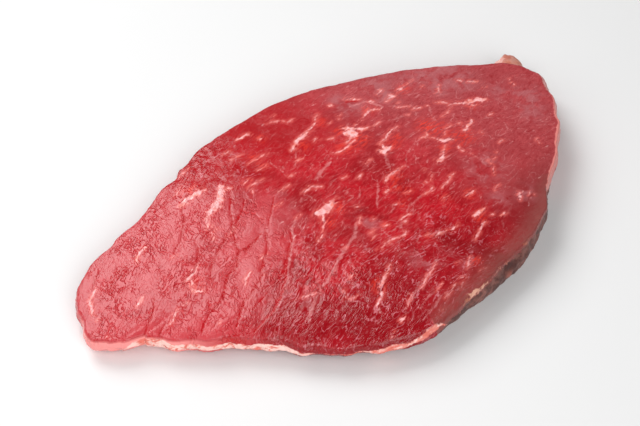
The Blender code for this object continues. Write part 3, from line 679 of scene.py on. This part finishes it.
# One smooth closed mesh, with a value at each point for every mark
def meshFrom(name, places, faces, marks):
    mesh = bpy.data.meshes.new(name)
    mesh.from_pydata(places.tolist(), [], faces)
    mesh.update()
    mesh.polygons.foreach_set("use_smooth", np.ones(len(mesh.polygons), bool))
    for mark, values in marks.items():
        kind, field = ("FLOAT_VECTOR", "vector") if values.ndim == 2 else ("FLOAT", "value")
        layer = mesh.attributes.new(mark, kind, "POINT")
        layer.data.foreach_set(field, values.astype(np.float32).ravel())
    return addObject(name, mesh)


# A colour from 0-255 screen values to the linear values that a shader takes
def tone(red, green, blue):
    parts = (red / 255, green / 255, blue / 255)
    return tuple(p / 12.92 if p <= 0.04045 else ((p + 0.055) / 1.055) ** 2.4 for p in parts) + (1.0,)


def newMaterial(name):
    material = bpy.data.materials.new(name)
    material.use_nodes = True
    return material, material.node_tree, material.node_tree.nodes["Principled BSDF"]


def put(tree, kind, settings=None, **inputs):
    node = tree.nodes.new(kind)
    for key, value in (settings or {}).items():
        setattr(node, key, value)
    for key, value in inputs.items():
        feed(tree, node.inputs[key], value)
    return node


def feed(tree, socket, value):
    if isinstance(value, bpy.types.NodeSocket):
        tree.links.new(value, socket)
    else:
        socket.default_value = value


def calc(tree, operation, first, second=0.0):
    node = put(tree, "ShaderNodeMath", {"operation": operation})
    feed(tree, node.inputs[0], first)
    feed(tree, node.inputs[1], second)
    return node.outputs[0]


def times(tree, *factors):
    product = factors[0]
    for factor in factors[1:]:
        product = calc(tree, "MULTIPLY", product, factor)
    return product


def plus(tree, first, second):
    return calc(tree, "ADD", first, second)


def minus(tree, first, second):
    return calc(tree, "SUBTRACT", first, second)


# 0 at low and 1 at high, softly, and the other way round where low is the larger
def fadeIn(tree, value, low, high):
    node = put(tree, "ShaderNodeMapRange", {"interpolation_type": "SMOOTHSTEP", "clamp": True}, Value=value)
    node.inputs["From Min"].default_value = low
    node.inputs["From Max"].default_value = high
    return node.outputs["Result"]


def blendTones(tree, share, first, second):
    node = put(tree, "ShaderNodeMix", {"data_type": "RGBA", "blend_type": "MIX", "clamp_factor": True})
    feed(tree, node.inputs[0], share)
    feed(tree, node.inputs[6], first)
    feed(tree, node.inputs[7], second)
    return node.outputs[2]


def readMark(tree, name, output="Fac"):
    return put(tree, "ShaderNodeAttribute", {"attribute_name": name}).outputs[output]


def noiseOn(tree, vector, scale, detail=2.0, roughness=0.5, distortion=0.0, stretch=None):
    if stretch:
        vector = put(tree, "ShaderNodeMapping", None, Vector=vector, Scale=stretch).outputs[0]
    node = put(tree, "ShaderNodeTexNoise", None, Vector=vector, Scale=scale, Detail=detail)
    node.inputs["Roughness"].default_value = roughness
    node.inputs["Distortion"].default_value = distortion
    return node.outputs["Fac"]


# 1 where a noise crosses its middle value, 0 away from it: short curved strokes
def thinLines(tree, noise, width):
    away = calc(tree, "ABSOLUTE", minus(tree, noise, 0.5))
    return minus(tree, 1.0, fadeIn(tree, away, 0.0, width))


# Colours of the raw meat, as 0-255 screen values
hairTone, paleTone = tone(218, 136, 136), tone(200, 84, 86)
# The dark red serves the darker grain strokes and the painted shade in the creases
darkGrainAndCreaseShade, rimRed = tone(146, 4, 16), tone(205, 52, 46)
meatTones = {
    "deep": tone(156, 8, 20), "plain": tone(190, 20, 34), "creaseShadeLeft": tone(186, 2, 18),
    "fat": tone(250, 188, 188), "fatWarm": tone(236, 136, 124),
    "rimFat": tone(255, 206, 196), "rimFatRed": tone(228, 116, 102),
    "brown": tone(128, 80, 72), "brownDark": tone(82, 42, 38), "brownPink": tone(160, 102, 92),
    "cream": tone(234, 176, 152), "rust": tone(186, 108, 84),
}

# Layers over the meat: colour, and how strongly it covers what lies below; the shade, glint, sheen, glow and
# light layers are painted light and shade
layers = {
    "rightSide": (tone(170, 72, 76), 0.78), "paleStrokes": (paleTone, 0.38),
    "darkStrokes": (darkGrainAndCreaseShade, 0.50), "threads": (hairTone, 0.5), "paleHairs": (paleTone, 0.40),
    "darkHairs": (darkGrainAndCreaseShade, 0.48), "lowRightShade": (tone(134, 56, 56), 0.55),
    "nearShade": (tone(122, 4, 16), 0.48), "topShade": (tone(172, 4, 16), 0.55),
    "glints": (tone(226, 140, 150), 0.56), "glintDots": (hairTone, 0.45), "skinAndSheen": (tone(200, 78, 84), 1.0),
    "film": (tone(180, 104, 108), 0.62), "web": (hairTone, 0.30), "veins": (hairTone, 0.52),
    "orange": (tone(222, 56, 42), 0.8), "fatBorder": (tone(220, 98, 92), 0.70),
    "longCreaseShade": (tone(176, 0, 14), 0.92), "rimGlow": (rimRed, 0.35), "lowRimShade": (tone(140, 8, 20), 0.5),
    "leftWallLight": (tone(255, 158, 154), 0.85), "shadeBesideCrust": (tone(140, 72, 68), 1.0),
    "pitShade": (tone(56, 16, 14), 1.0), "ball": (tone(158, 92, 80), 1.0),
    "flap": (meatTones["rimFatRed"], 0.75), "rightFat": (tone(232, 142, 134), 0.8),
}

# Noises: what they run on (metres, or millimetres of grain), scale, detail, roughness, distortion, stretch
patterns = {
    "clouds": ("place", 48, 3, 0.55), "patches": ("place", 160, 3, 0.6, 0.6),
    "speckle": ("place", 1150, 2, 0.6), "crustLumps": ("place", 230, 4, 0.65, 0.4),
    "web": ("place", 120, 1.5, 0.5, 1.2), "ragged": ("place", 900, 2, 0.6), "fatMottle": ("place", 420, 2),
    "fatGaps": ("place", 330, 2), "fringeGaps": ("place", 260, 2), "dense": ("grain", 0.10, 1.5, 0.6, 0.5),
    "looseGaps": ("grain", 0.11, 1.0), "strokes": ("grain", 0.62, 3, 0.6, 0.5, (0.38, 1.0, 0.6)),
    "hairs": ("grain", 1.0, 3, 0.65, 0.7, (0.27, 1.0, 0.4)),
    "shortHairs": ("grain", 1.25, 3, 0.65, 0.9, (0.55, 1.0, 0.4)), "glintGaps": ("grain", 0.42, 1.0),
    "threads": ("grain", 0.30, 1.5, 0.5, 0.8, (0.32, 1.0, 0.5)),
    "glints": ("grain", 0.36, 1.5, 0.5, 0.7, (0.36, 1.0, 0.5)),
    "fibrous": ("grain", 1.0, 2, 0.6, 0.3, (0.30, 1.0, 0.5)),
    "rimMottle": ("grain", 0.20, 3, 0.6, 0.6, (0.40, 1.0, 2.2)),
    "fine": ("grain", 0.9, 3, 0.6, 0.6, (0.5, 1.0, 0.6)),
    "wrinkles": ("grain", 0.85, 1.2, 0.5, 0.7, (0.38, 1.0, 0.5)),
}

# Short creases: scale, stretch, shift and line width of four noises that run different ways
creaseFamilies = (
    (0.33, (0.38, 1.0, 0.5), 0.0, 0.058), (0.34, (1.0, 0.42, 0.5), 40.0, 0.058),
    (0.46, (0.9, 0.55, 0.5), 90.0, 0.072), (0.41, (0.42, 0.9, 0.5), 150.0, 0.064),
)

# Parts of the slice by place: the axis, and in metres where the part begins and where it is full
zones = {
    "lowRightShade": (("X", 0.040, 0.070), ("Y", -0.014, -0.040)),
    "nearShade": (("Y", -0.030, -0.052), ("X", -0.075, -0.045)),
    "topShade": (("Y", 0.022, 0.042), ("X", 0.040, 0.005)), "glints": (("X", 0.070, 0.020),),
    "rimGlow": (("Y", -0.050, -0.030),), "lowRimShade": (("Y", -0.044, -0.056),),
    "leftWallLight": (("X", -0.082, -0.104), ("Y", 0.022, 0.006)), "flap": (("Y", -0.052, -0.060),),
    "creamFringe": (("X", 0.044, 0.030),),
}

# Bump heights of the wet surface in millimetres, and its roughness with what each part adds
bump = {"fine": 0.030, "pits": 0.02, "wrinkles": 0.36, "creases": 0.05, "creasesLeft": 0.16}
gloss = {"base": 0.20, "rightSide": 0.16, "patches": 0.08, "browned": 0.25, "crumpled": -0.05, "ior": 1.40}


def pattern(tree, ground, name):
    onto, *numbers = patterns[name]
    return noiseOn(tree, ground[onto], *numbers)


def zone(tree, ground, name):
    return times(tree, *(fadeIn(tree, ground[axis], low, high) for axis, low, high in zones[name]))


# One more layer of its own colour, as strong as its share times its strength
def cover(tree, colour, share, layer):
    layerTone, strength = layers[layer]
    return blendTones(tree, times(tree, share, strength), colour, layerTone)


# A mark whose border is broken up by the ragged noise
def raggedMark(tree, ground, mark, amount):
    return plus(tree, readMark(tree, mark), times(tree, ground["ragged"], amount))


# What the layers share: places, marks, noises, and the hairs that get shorter towards the right
def readGround(tree):
    place = put(tree, "ShaderNodeTexCoord").outputs["Object"]
    axes = put(tree, "ShaderNodeSeparateXYZ", None, Vector=place).outputs
    ground = {"place": place, "X": axes["X"], "Y": axes["Y"], "grain": readMark(tree, "grain", "Vector")}
    for mark in ("crumpled", "membrane", "past"):
        ground[mark] = readMark(tree, mark)
    for name in ("clouds", "patches", "speckle", "fibrous"):
        ground[name] = pattern(tree, ground, name)
    ground["bare"] = minus(tree, 1.0, ground["membrane"])
    ground["rightSide"] = fadeIn(tree, plus(tree, ground["X"], times(tree, ground["Y"], 0.5)), 0.015, 0.09)
    hairs = pattern(tree, ground, "hairs")
    shorter = minus(tree, pattern(tree, ground, "shortHairs"), hairs)
    ground["hairs"] = plus(tree, hairs, times(tree, shorter, ground["rightSide"]))
    ground["ragged"] = times(tree, minus(tree, pattern(tree, ground, "ragged"), 0.5), 0.9)
    feathered = plus(tree, ground["ragged"], times(tree, minus(tree, ground["fibrous"], 0.5), 1.7))
    for mark in ("vein", "fleck"):
        ground[mark] = plus(tree, readMark(tree, mark), feathered)
    ground["browned"] = raggedMark(tree, ground, "browned", 0.8)
    return ground


# Meat: clouds of deeper and brighter red, then strokes, threads and hairs along the grain, painted shade in
# three parts, painted glints and painted glint dots
def paintFlesh(tree, ground):
    patches, bare, hairs = ground["patches"], ground["bare"], ground["hairs"]
    strokes = pattern(tree, ground, "strokes")
    clouds = fadeIn(tree, ground["clouds"], 0.35, 0.66)
    colour = blendTones(tree, clouds, meatTones["deep"], meatTones["plain"])
    colour = cover(tree, colour, ground["rightSide"], "rightSide")
    colour = cover(tree, colour, fadeIn(tree, strokes, 0.50, 0.74), "paleStrokes")
    colour = cover(tree, colour, fadeIn(tree, strokes, 0.48, 0.30), "darkStrokes")
    threads = thinLines(tree, pattern(tree, ground, "threads"), 0.022)
    colour = cover(tree, colour, times(tree, threads, fadeIn(tree, patches, 0.44, 0.56), bare), "threads")
    colour = cover(tree, colour, times(tree, fadeIn(tree, hairs, 0.51, 0.68), bare), "paleHairs")
    colour = cover(tree, colour, times(tree, fadeIn(tree, hairs, 0.49, 0.36), bare), "darkHairs")
    # Painted shade: the lower right, the front part and the far part of the face are darkened in the colour
    for name in ("lowRightShade", "nearShade", "topShade"):
        colour = cover(tree, colour, zone(tree, ground, name), name)
    # Painted glints: thin pale strokes painted in the colour as highlights on the crumpled parts
    glints = thinLines(tree, pattern(tree, ground, "glints"), 0.040)
    glints = times(tree, glints, fadeIn(tree, pattern(tree, ground, "glintGaps"), 0.46, 0.54), bare)
    glints = times(tree, glints, fadeIn(tree, ground["crumpled"], 0.10, 0.55), zone(tree, ground, "glints"))
    colour = cover(tree, colour, glints, "glints")
    # Painted glints: tiny pale dots painted as highlights
    glintDots = times(tree, fadeIn(tree, ground["speckle"], 0.66, 0.74), fadeIn(tree, patches, 0.50, 0.60), bare)
    return cover(tree, colour, glintDots, "glintDots")


# Membrane: a paler skin over the left part, partly its own colour and partly painted sheen of the light there,
# films and pale hairlines elsewhere
def paintSkinAndSheen(tree, ground, colour):
    patches = ground["patches"]
    uneven = plus(tree, times(tree, fadeIn(tree, patches, 0.35, 0.65), 0.2), 0.6)
    colour = cover(tree, colour, times(tree, ground["membrane"], uneven), "skinAndSheen")
    film = times(tree, readMark(tree, "film"), fadeIn(tree, patches, 0.36, 0.62))
    colour = cover(tree, colour, film, "film")
    web = thinLines(tree, pattern(tree, ground, "web"), 0.012)
    colour = cover(tree, colour, times(tree, web, fadeIn(tree, ground["clouds"], 0.45, 0.62)), "web")
    return cover(tree, colour, fadeIn(tree, ground["vein"], -0.3, 0.6), "veins")


# Orange warmth beside the fat, then the fat itself with a softer pink border
def paintMarbling(tree, ground, colour):
    fibrous = ground["fibrous"]
    orange = times(tree, readMark(tree, "orange"), fadeIn(tree, fibrous, 0.40, 0.60))
    colour = cover(tree, colour, orange, "orange")
    border = times(tree, fadeIn(tree, readMark(tree, "body"), -1.8, 0.3), fadeIn(tree, fibrous, 0.36, 0.56))
    colour = cover(tree, colour, border, "fatBorder")
    mottle = fadeIn(tree, pattern(tree, ground, "fatMottle"), 0.45, 0.7)
    fatTone = blendTones(tree, mottle, meatTones["fat"], meatTones["fatWarm"])
    solid = plus(tree, times(tree, fadeIn(tree, pattern(tree, ground, "fatGaps"), 0.36, 0.56), 0.42), 0.56)
    return blendTones(tree, times(tree, fadeIn(tree, ground["fleck"], -0.2, 0.9), solid), colour, fatTone)


# Thin lines of the four noises, each broken by a mask, where the face is crumpled
def shortCreaseShare(tree, ground):
    share = 0.0
    for scale, stretch, shift, width in creaseFamilies:
        moved = put(tree, "ShaderNodeMapping", None, Vector=ground["grain"], Scale=stretch)
        moved.inputs["Location"].default_value = (shift, shift, 0)
        moved = moved.outputs[0]
        lines = thinLines(tree, noiseOn(tree, moved, scale, 0.6, 0.5, 0.55), width)
        mask = fadeIn(tree, noiseOn(tree, moved, scale * 1.8, 1.0), 0.47, 0.53)
        share = calc(tree, "MAXIMUM", share, times(tree, lines, mask))
    dense = plus(tree, times(tree, fadeIn(tree, pattern(tree, ground, "dense"), 0.41, 0.62), 0.75), 0.25)
    return times(tree, share, ground["crumpled"], dense)


# Creases: darker red painted into the short and the long creases, painted shade in them
def paintCreases(tree, ground, colour, shortCreases):
    shortCreaseShade = blendTones(tree, ground["membrane"], darkGrainAndCreaseShade, meatTones["creaseShadeLeft"])
    offFat = minus(tree, 1.0, times(tree, fadeIn(tree, ground["fleck"], -0.3, 0.5), 0.8))
    colour = blendTones(tree, times(tree, shortCreases, offFat, 0.95), colour, shortCreaseShade)
    longShade = fadeIn(tree, raggedMark(tree, ground, "crease", 0.4), -0.36, 0.04)
    return cover(tree, colour, longShade, "longCreaseShade")


# The edge: a painted red glow along the rim and painted shade along its front, a painted lighter left wall, the
# browned wall with painted shade beside it and in its pit, its ball, fat bands and the ragged fringe
def paintEdge(tree, ground, colour):
    patches, browned = ground["patches"], ground["browned"]
    # Painted light and shade at the rim: a red glow along it except at the front, shade along the front rim,
    # and a lighter wall at the left tip
    for name, low, high in (("rimGlow", -0.7, 0.3), ("lowRimShade", -1.4, 0.5), ("leftWallLight", -0.6, 0.5)):
        share = times(tree, fadeIn(tree, ground["past"], low, high), zone(tree, ground, name))
        colour = cover(tree, colour, share, name)
    lumps = fadeIn(tree, pattern(tree, ground, "crustLumps"), 0.38, 0.62)
    crust = blendTones(tree, lumps, meatTones["brownDark"], meatTones["brown"])
    crust = blendTones(tree, fadeIn(tree, patches, 0.58, 0.72), crust, meatTones["brownPink"])
    hairy = plus(tree, times(tree, fadeIn(tree, ground["hairs"], 0.35, 0.6), 0.35), 0.65)
    # Painted shade: a darker brownish band on the meat beside the browned wall
    colour = cover(tree, colour, times(tree, fadeIn(tree, browned, -15.0, -0.5), hairy), "shadeBesideCrust")
    colour = blendTones(tree, fadeIn(tree, browned, -0.2, 0.8), colour, crust)
    # Painted shade darkens the pit; the ball keeps its own colour
    for mark in ("pitShade", "ball"):
        colour = cover(tree, colour, readMark(tree, mark), mark)
    mottle = fadeIn(tree, pattern(tree, ground, "rimMottle"), 0.46, 0.60)
    rimFat = blendTones(tree, mottle, meatTones["rimFat"], meatTones["rimFatRed"])
    flap = times(tree, zone(tree, ground, "flap"), fadeIn(tree, patches, 0.40, 0.55))
    rimFat = cover(tree, rimFat, flap, "flap")
    edgeFat = fadeIn(tree, raggedMark(tree, ground, "edgeFat", 1.3), -0.2, 0.5)
    colour = blendTones(tree, edgeFat, colour, rimFat)
    rightFat = fadeIn(tree, raggedMark(tree, ground, "rightFat", 1.2), -0.1, 0.8)
    colour = cover(tree, colour, rightFat, "rightFat")
    cream = times(tree, fadeIn(tree, patches, 0.44, 0.6), zone(tree, ground, "creamFringe"))
    fringeTone = blendTones(tree, cream, meatTones["rust"], meatTones["cream"])
    broken = calc(tree, "MAXIMUM", cream, fadeIn(tree, pattern(tree, ground, "fringeGaps"), 0.50, 0.60))
    fringe = fadeIn(tree, raggedMark(tree, ground, "fringe", 1.6), -0.1, 0.6)
    return blendTones(tree, times(tree, fringe, broken, 0.85), colour, fringeTone)


# Relief finer than the mesh: strokes and pits of the wet surface, wrinkles where it is crumpled, creases
def fineNormal(tree, ground, shortCreases):
    fine = times(tree, pattern(tree, ground, "fine"), bump["fine"])
    pits = times(tree, ground["speckle"], ground["bare"], bump["pits"])
    loose = times(tree, ground["crumpled"], minus(tree, 1.0, times(tree, ground["membrane"], 0.85)))
    loose = times(tree, loose, fadeIn(tree, pattern(tree, ground, "looseGaps"), 0.40, 0.56))
    wrinkles = times(tree, pattern(tree, ground, "wrinkles"), loose, bump["wrinkles"])
    deep = plus(tree, times(tree, ground["membrane"], bump["creasesLeft"]), bump["creases"])
    height = plus(tree, plus(tree, fine, pits), wrinkles)
    height = minus(tree, height, times(tree, shortCreases, deep))
    return put(tree, "ShaderNodeBump", None, Height=height, Strength=1.0, Distance=mm).outputs["Normal"]


def wetRoughness(tree, ground):
    rough = gloss["base"]
    for name, share in (
        ("rightSide", ground["rightSide"]), ("patches", fadeIn(tree, ground["patches"], 0.3, 0.7)),
        ("browned", fadeIn(tree, ground["browned"], -0.2, 0.8)), ("crumpled", ground["crumpled"]),
    ):
        rough = plus(tree, rough, times(tree, share, gloss[name]))
    return rough


def makeMeat():
    material, tree, shader = newMaterial("rawBeef")
    ground = readGround(tree)
    shortCreases = shortCreaseShare(tree, ground)
    colour = paintSkinAndSheen(tree, ground, paintFlesh(tree, ground))
    colour = paintMarbling(tree, ground, colour)
    colour = paintCreases(tree, ground, colour, shortCreases)
    tree.links.new(paintEdge(tree, ground, colour), shader.inputs["Base Color"])
    tree.links.new(fineNormal(tree, ground, shortCreases), shader.inputs["Normal"])
    tree.links.new(wetRoughness(tree, ground), shader.inputs["Roughness"])
    shader.inputs["IOR"].default_value = gloss["ior"]
    return material


places, quads, base, shape = buildSlice()
marks = markSlice(places, shape)
addRelief(places, shape, marks)
meat = meshFrom("beefSlice", places, quads.tolist() + [base.tolist()], marks)
meat.data.materials.append(makeMeat())
print("slice made,", len(quads) * 2 + len(base) - 2, "triangles")


# The tag of fat at the far right, an egg half sunk in the wall: metres, degrees, where its ends change colour
tag = {
    "centre": (0.1221, 0.0330, 0.0105), "radii": (0.0074, 0.0115, 0.0045), "turn": -37,
    "around": 64, "rings": 32, "lumps": 0.16, "bumpHeight": 0.0004,
    "redRoot": (0.1205, 0.1165, 0.8), "rustyEnd": (0.1225, 0.1255), "rustyTop": (0.0125, 0.0150),
    "rust": 0.75,
}


# A round form: longitude and latitude on an egg, pushed out by noise along its own directions
def buildTag():
    longitude = np.arange(tag["around"]) * fullTurn / tag["around"]
    latitude = np.linspace(-math.pi / 2, math.pi / 2, tag["rings"] + 1)[1:-1]
    lon, lat = np.meshgrid(longitude, latitude)
    unit = np.stack((np.cos(lat) * np.cos(lon), np.cos(lat) * np.sin(lon), np.sin(lat)), -1).reshape(-1, 3)
    unit = np.concatenate((unit, ((0, 0, -1), (0, 0, 1))))
    lumps = layeredNoise(unit[:, 0] * 1.7 + unit[:, 2] * 2.1, unit[:, 1] * 1.9 - unit[:, 2], 51, 3)
    x, y, z = (unit * (1 + tag["lumps"] * lumps)[:, None] * tag["radii"]).T
    turn = math.radians(tag["turn"])
    turned = (x * math.cos(turn) - y * math.sin(turn), x * math.sin(turn) + y * math.cos(turn), z)
    around, rows = tag["around"], tag["rings"] - 1
    index = np.arange(rows * around).reshape(rows, around)
    right = np.roll(index, -1, 1)
    faces = np.stack((index[:-1], right[:-1], right[1:], index[1:]), -1).reshape(-1, 4).tolist()
    south, north = rows * around, rows * around + 1
    faces += [(south, second, first) for first, second in zip(index[0], right[0])]
    faces += [(north, first, second) for first, second in zip(index[-1], right[-1])]
    return meshFrom("fatTag", np.stack(turned, 1) + tag["centre"], faces, {})


def makeTagFat():
    material, tree, shader = newMaterial("tagFat")
    place = put(tree, "ShaderNodeTexCoord").outputs["Object"]
    axes = put(tree, "ShaderNodeSeparateXYZ", None, Vector=place).outputs
    clouds = fadeIn(tree, noiseOn(tree, place, 190, 3, 0.6), 0.40, 0.62)
    colour = blendTones(tree, clouds, meatTones["rimFat"], meatTones["rimFatRed"])
    low, high, strength = tag["redRoot"]
    colour = blendTones(tree, times(tree, fadeIn(tree, axes["X"], low, high), strength), colour, rimRed)
    rustyEnd, rustyTop = fadeIn(tree, axes["X"], *tag["rustyEnd"]), fadeIn(tree, axes["Z"], *tag["rustyTop"])
    farEdge = calc(tree, "MAXIMUM", rustyEnd, rustyTop)
    colour = blendTones(tree, times(tree, farEdge, tag["rust"]), colour, meatTones["rust"])
    tree.links.new(colour, shader.inputs["Base Color"])
    height = noiseOn(tree, place, 700, 3)
    lumpy = put(tree, "ShaderNodeBump", None, Height=height, Strength=0.6, Distance=tag["bumpHeight"])
    tree.links.new(lumpy.outputs["Normal"], shader.inputs["Normal"])
    shader.inputs["Roughness"].default_value = 0.42
    shader.inputs["Subsurface Weight"].default_value = 0.15
    shader.inputs["Subsurface Radius"].default_value = (1.0, 0.5, 0.35)
    shader.inputs["Subsurface Scale"].default_value = 0.002
    return material


fatTag = buildTag()
fatTag.data.materials.append(makeTagFat())
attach(fatTag, "root")
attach(meat, "root")
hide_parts("steak")
print("tag of fat made")


# Stage: a pale floor, pale surroundings, and large soft lights behind, at the left and in front:
# directions in degrees from +Y towards +X and up from the floor, distances and sizes in metres
stage = {
    "floorTone": 0.785, "floorSize": 6.0, "skyTone": (1.0, 1.0, 1.0, 1.0), "skyStrength": 0.13,
    "aim": (-0.06, 0.0, 0.01),
    "backBox": {"azimuth": -5, "elevation": 48.5, "reach": 1.1, "size": (0.715, 0.82), "radiance": 5.3},
    "leftBox": {"azimuth": -85, "elevation": 45, "reach": 0.6, "size": (0.45, 0.45), "radiance": 2.0},
    "frontBox": {"azimuth": 190, "elevation": 38, "reach": 1.5, "size": (1.2, 1.2), "radiance": 3.7},
}


def aimAt(item, place, aim):
    item.location = place
    item.rotation_euler = (Vector(aim) - Vector(place)).to_track_quat("-Z", "Y").to_euler()


# A square of light at a distance from the slice, turned to it
def hangSoftbox(name, azimuth, elevation, reach, size, radiance):
    lamp = bpy.data.lights.new(name, "AREA")
    lamp.shape = "RECTANGLE"
    lamp.size, lamp.size_y = size
    lamp.energy = radiance * math.pi * size[0] * size[1]
    turn, rise = math.radians(azimuth), math.radians(elevation)
    direction = Vector((math.sin(turn) * math.cos(rise), math.cos(turn) * math.cos(rise), math.sin(rise)))
    aim = Vector(stage["aim"])
    aimAt(addObject(name, lamp), aim + direction * reach, aim)


def buildStage():
    half = stage["floorSize"] / 2
    mesh = bpy.data.meshes.new("paleFloor")
    corners = [(-half, -half, 0), (half, -half, 0), (half, half, 0), (-half, half, 0)]
    mesh.from_pydata(corners, [], [(0, 1, 2, 3)])
    floor = addObject("paleFloor", mesh)
    material, _, shader = newMaterial("palePaper")
    shader.inputs["Base Color"].default_value = (stage["floorTone"],) * 3 + (1.0,)
    shader.inputs["Roughness"].default_value = 0.9
    shader.inputs["Specular IOR Level"].default_value = 0.0
    mesh.materials.append(material)

    world = bpy.data.worlds.new("studioSky")
    world.use_nodes = True
    sky = world.node_tree.nodes["Background"]
    sky.inputs["Color"].default_value = stage["skyTone"]
    sky.inputs["Strength"].default_value = stage["skyStrength"]
    bpy.context.scene.world = world

    for name in ("backBox", "leftBox", "frontBox"):
        hangSoftbox(name, **stage[name])


def buildCamera():
    lens = bpy.data.cameras.new("camera")
    lens.lens = view["lens"]
    lens.sensor_width = view["sensor"]
    lens.sensor_fit = "HORIZONTAL"
    lens.clip_start = 0.01
    camera = addObject("camera", lens)
    aimAt(camera, view["place"], view["aim"])
    bpy.context.scene.camera = camera


buildStage()
buildCamera()
bpy.context.scene.view_settings.view_transform = "Standard"
print("stage and camera ready")
